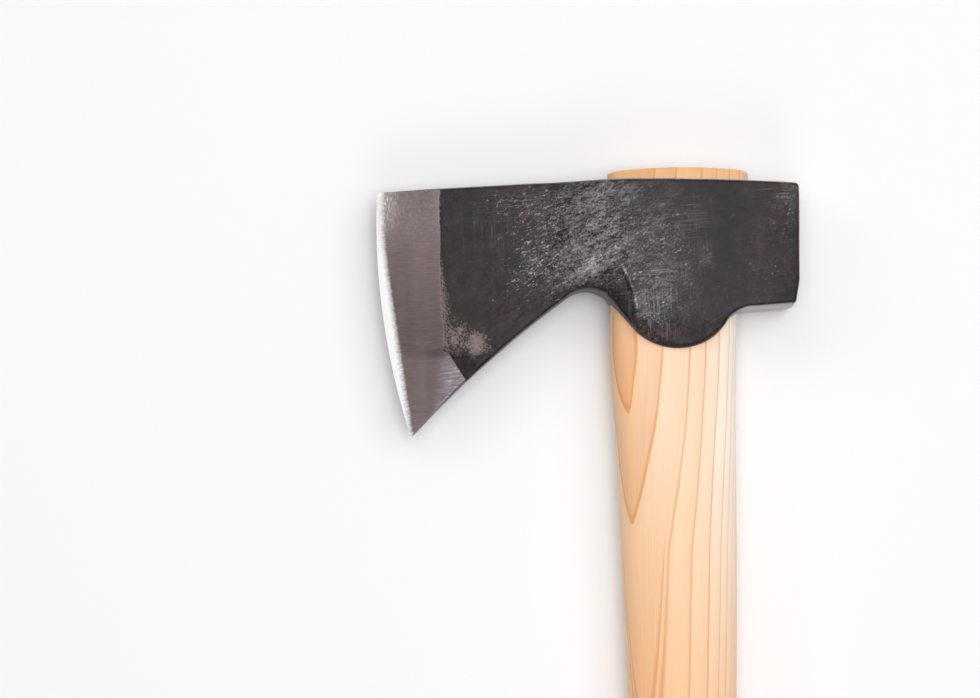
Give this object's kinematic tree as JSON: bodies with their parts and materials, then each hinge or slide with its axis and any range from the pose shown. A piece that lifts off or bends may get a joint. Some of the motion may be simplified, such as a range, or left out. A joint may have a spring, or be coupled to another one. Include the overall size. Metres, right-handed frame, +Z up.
{
  "type": "carving hatchet",
  "caption": "Bearded carving hatchet: forged steel head with a ground bevel and lugs, wedged on an oval hardwood handle with an end knob.",
  "frame": {"origin": "on the resting plane, straight below the middle of the eye; the hatchet lies on one cheek", "axes": "+X from the cutting edge to the poll, +Y along the handle towards the top of the head, +Z up through the cheeks"},
  "size_m": [0.1346, 0.355, 0.028],
  "materials": {
    "forged_steel": "dark forge scale, ground bevel and polished edge",
    "handle_wood": "oiled pale hardwood",
    "wedge_wood": "oiled pale hardwood",
    "spike_steel": "plain steel"
  },
  "bodies": {
    "root": {"axe_head": "forged_steel", "handle": "handle_wood", "wooden_wedge": "wedge_wood", "steel_spike": "spike_steel"}
  },
  "joints": []
}
